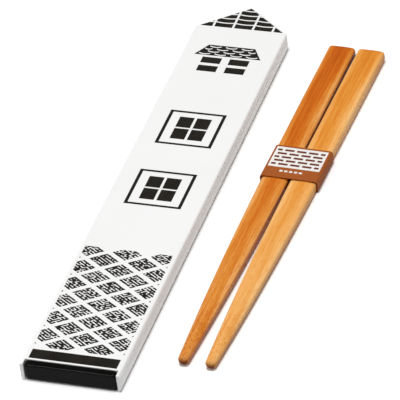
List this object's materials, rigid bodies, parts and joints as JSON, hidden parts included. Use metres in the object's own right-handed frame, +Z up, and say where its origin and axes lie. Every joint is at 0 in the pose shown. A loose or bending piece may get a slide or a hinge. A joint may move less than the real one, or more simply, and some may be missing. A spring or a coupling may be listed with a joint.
{
  "type": "portable chopstick case",
  "caption": "Flat white case with a gable end and a black pull block on a sliding tray, with the wooden chopsticks that it carries in a paper band beside it.",
  "frame": {"origin": "centre of the case's underside, halfway between the pull block's front and the gable's point", "axes": "+Y along the case towards the gable, +Z up, +X towards the chopsticks"},
  "size_m": [0.0738, 0.2108, 0.0071],
  "materials": {
    "white_shell": "satin gloss white with a black print on top",
    "black_tray": "fine matt black",
    "black_gloss": "polished black",
    "wood_red": "clear satin varnish on straight grain",
    "wood_light": "clear satin varnish on straight grain",
    "brown_paper": "uncoated printed paper"
  },
  "bodies": {
    "sleeve": {"upper_shell": "white_shell", "lower_shell": "white_shell"},
    "drawer": {"tray": "black_tray", "pull_block": "black_gloss"},
    "chopsticks": {"chopstick_left": "wood_red", "chopstick_right": "wood_light"},
    "band": {"paper_band": "brown_paper"}
  },
  "joints": [
    {"name": "tray_slide", "type": "slide", "parent": "sleeve", "child": "drawer", "axis": [0, -1, 0], "range_m": [0, 0.17]},
    {"name": "chopsticks_lift", "type": "slide", "parent": "sleeve", "child": "chopsticks", "axis": [0, 0, 1], "range_m": [0, 0.05]},
    {"name": "band_slide", "type": "slide", "parent": "chopsticks", "child": "band", "axis": [-0.0314, -0.9995, 0], "range_m": [0, 0.098]}
  ]
}
